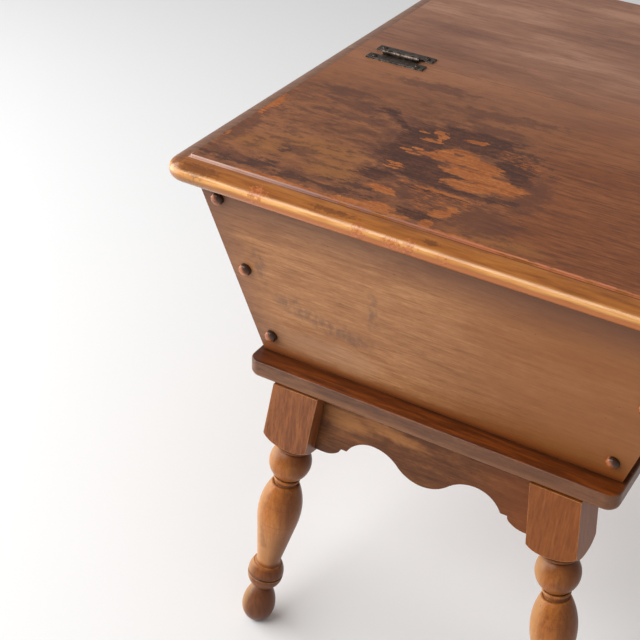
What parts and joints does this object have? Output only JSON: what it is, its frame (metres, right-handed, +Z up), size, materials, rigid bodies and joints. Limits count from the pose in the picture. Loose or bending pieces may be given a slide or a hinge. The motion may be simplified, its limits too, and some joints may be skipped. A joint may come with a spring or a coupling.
{
  "type": "dough box table",
  "caption": "Small dough box table: sloping box under a split hinged lid top with a thumbnail edge, tray board, scalloped aprons and splayed turned legs.",
  "frame": {"origin": "on the floor, under the middle of the top's outline", "axes": "+Z up, -Y to the front with the buttons and the lid's free edge, +X to the right seen from the front"},
  "size_m": [0.562, 0.6806, 0.5698],
  "materials": {
    "top_wood": "satin stained maple, worn",
    "case_wood": "satin stained maple",
    "leg_wood": "satin stained maple",
    "button_wood": "satin stained",
    "inner_wood": "plain unfinished",
    "screw_steel": "zinc plated",
    "hinge_metal": "dark antique copper"
  },
  "bodies": {
    "table": {"rear_top_panel": "top_wood", "front_board": "case_wood", "back_board": "case_wood", "left_end_board": "case_wood", "right_end_board": "case_wood", "front_buttons": "button_wood", "back_buttons": "button_wood", "front_joint_screws": "screw_steel", "back_joint_screws": "screw_steel", "tray_board": "case_wood", "box_screws": "screw_steel", "centre_rail": "inner_wood", "left_cleat": "inner_wood", "right_cleat": "inner_wood", "back_cleat": "inner_wood", "cleat_screws": "screw_steel", "front_apron": "case_wood", "back_apron": "case_wood", "left_apron": "case_wood", "right_apron": "case_wood", "front_left_leg": "leg_wood", "front_right_leg": "leg_wood", "back_left_leg": "leg_wood", "back_right_leg": "leg_wood", "front_left_brace": "inner_wood", "front_right_brace": "inner_wood", "back_left_brace": "inner_wood", "back_right_brace": "inner_wood", "brace_screws": "screw_steel", "tray_screws": "screw_steel", "left_hinge_fixed_leaf": "hinge_metal", "left_hinge_pin": "hinge_metal", "left_hinge_fixed_screws": "hinge_metal", "right_hinge_fixed_leaf": "hinge_metal", "right_hinge_pin": "hinge_metal", "right_hinge_fixed_screws": "hinge_metal"},
    "lid": {"lid_panel": "top_wood", "left_batten": "inner_wood", "right_batten": "inner_wood", "batten_screws": "screw_steel", "left_hinge_lid_leaf": "hinge_metal", "right_hinge_lid_leaf": "hinge_metal", "left_hinge_lid_screws": "hinge_metal", "right_hinge_lid_screws": "hinge_metal"}
  },
  "joints": [
    {"name": "lid_hinge", "type": "hinge", "parent": "table", "child": "lid", "pos_m": [0, 0, 0.5665], "axis": [-1, 0, 0], "range_deg": [0, 165]}
  ]
}
